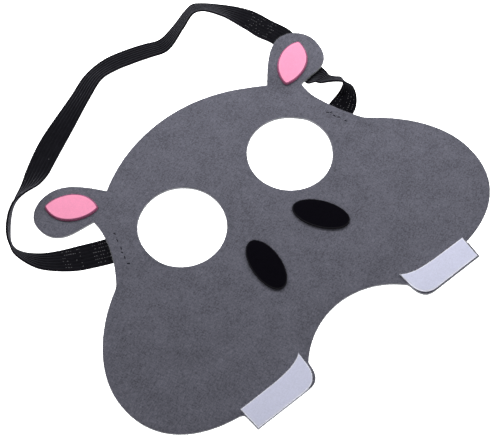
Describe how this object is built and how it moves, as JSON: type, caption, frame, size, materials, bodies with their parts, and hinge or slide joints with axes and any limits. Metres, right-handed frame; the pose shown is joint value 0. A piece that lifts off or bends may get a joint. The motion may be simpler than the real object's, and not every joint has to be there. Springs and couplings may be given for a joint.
{
  "type": "hippo mask",
  "caption": "Flat felt half mask cut as a hippo face with eye holes, ears, nostrils and teeth, and an elastic strap that goes round the head.",
  "frame": {"origin": "on the flat back of the felt, midway between the two eye holes, in the plane that the mask lies on", "axes": "+Z out of the front of the mask, +Y towards the ears, +X to the right as the face is seen"},
  "size_m": [0.1914, 0.1851, 0.0159],
  "materials": {
    "felt_grey": "matte pressed felt",
    "felt_pink": "matte pressed felt",
    "felt_black": "matte pressed felt",
    "felt_pale": "matte pressed felt",
    "elastic": "ribbed knitted elastic"
  },
  "bodies": {
    "root": {"face": "felt_grey", "ear_inner_left": "felt_pink", "ear_inner_right": "felt_pink", "nostril_left": "felt_black", "nostril_right": "felt_black", "tooth_left": "felt_pale", "tooth_right": "felt_pale", "strap": "elastic"}
  },
  "joints": []
}
